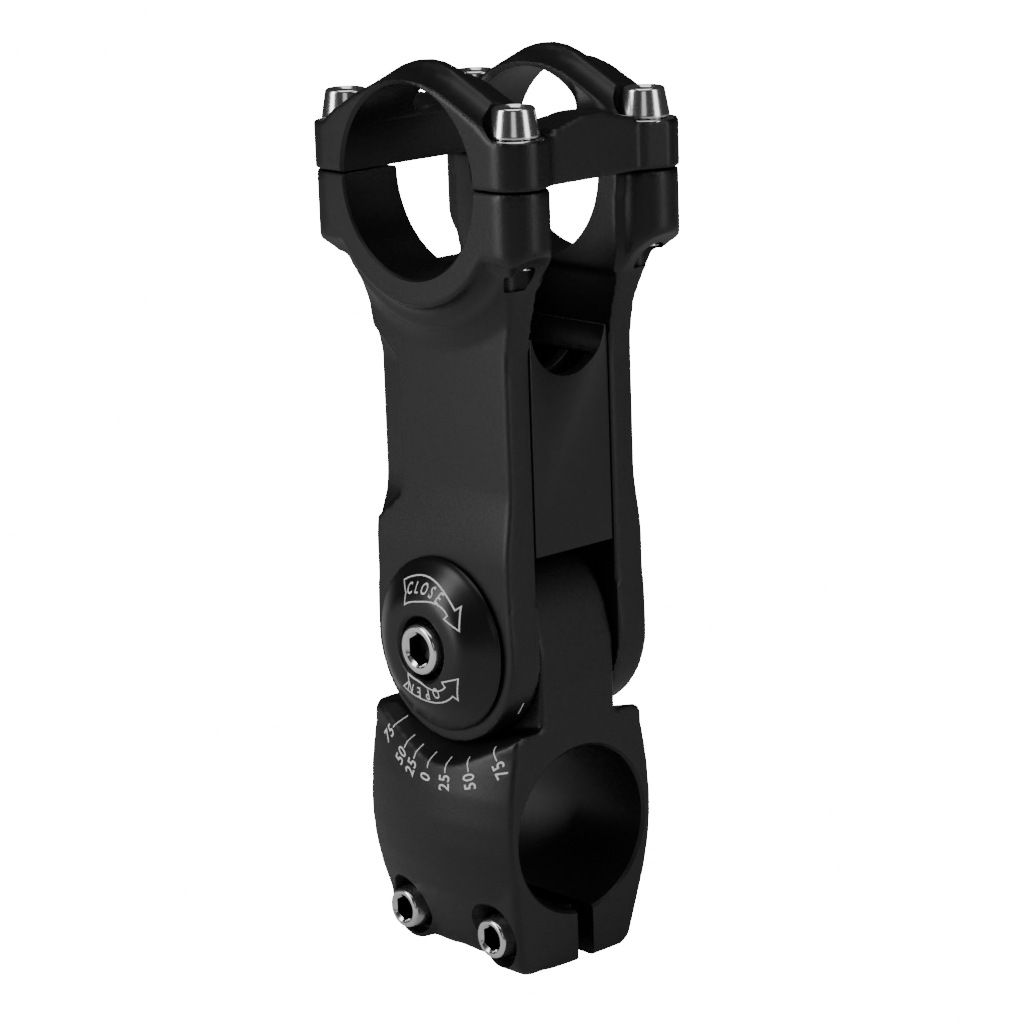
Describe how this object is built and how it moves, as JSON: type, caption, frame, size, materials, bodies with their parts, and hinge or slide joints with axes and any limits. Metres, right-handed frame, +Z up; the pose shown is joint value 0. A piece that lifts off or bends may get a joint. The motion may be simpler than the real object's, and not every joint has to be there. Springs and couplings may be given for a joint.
{
  "type": "handlebar stem",
  "caption": "Adjustable bicycle handlebar stem: a split steerer clamp, a forked arm that tilts on a pivot bolt, and a bar clamp with a bolted faceplate.",
  "frame": {"origin": "centre of the steerer bore, in the plane of the pivot bolt's axis", "axes": "+X along the steerer tube; +Y along the handlebar and the pivot bolt, away from the marked cap; +Z up the arm to the handlebar"},
  "size_m": [0.0518, 0.0421, 0.1538],
  "materials": {
    "black_anodised": "sand-blasted black anodised aluminium, satin",
    "black_cap": "smooth black anodised aluminium, satin, with white printed marks",
    "black_plastic": "smooth moulded black plastic",
    "chrome_screw": "polished chrome-plated steel",
    "steel": "plain zinc-plated steel",
    "bronze_bush": "turned bearing bronze"
  },
  "bodies": {
    "clamp": {"steerer_clamp": "black_anodised", "steerer_bolt_1": "chrome_screw", "steerer_bolt_2": "chrome_screw", "pivot_sleeve": "bronze_bush", "clamp_lock_ring_left": "steel", "clamp_lock_ring_right": "steel"},
    "arm": {"stem_arm": "black_anodised", "channel_cover": "black_plastic", "faceplate": "black_anodised", "faceplate_bolt_1": "chrome_screw", "faceplate_bolt_2": "chrome_screw", "faceplate_bolt_3": "chrome_screw", "faceplate_bolt_4": "chrome_screw", "faceplate_washer_1": "steel", "faceplate_washer_2": "steel", "faceplate_washer_3": "steel", "faceplate_washer_4": "steel", "arm_lock_ring_left": "steel", "arm_lock_ring_right": "steel", "thrust_washer_left": "bronze_bush", "thrust_washer_right": "bronze_bush", "pivot_cap_right": "black_cap", "pivot_nut": "steel"},
    "cap": {"pivot_cap_left": "black_cap"},
    "bolt": {"pivot_bolt": "chrome_screw"}
  },
  "joints": [
    {"name": "arm_tilt", "type": "hinge", "parent": "clamp", "child": "arm", "pos_m": [0, 0, 0.033], "axis": [0, 1, 0], "range_deg": [-75, 75]},
    {"name": "pivot_cap_slide", "type": "slide", "parent": "arm", "child": "cap", "axis": [0, -1, 0], "range_m": [0, 0.001]},
    {"name": "pivot_bolt_turn", "type": "hinge", "parent": "cap", "child": "bolt", "pos_m": [0, 0, 0.033], "axis": [0, -1, 0], "range_deg": [0, 360]}
  ],
  "couplings": [
    {"joint": "pivot_bolt_turn", "follows": "pivot_cap_slide", "rad_per_m": 6283}
  ]
}
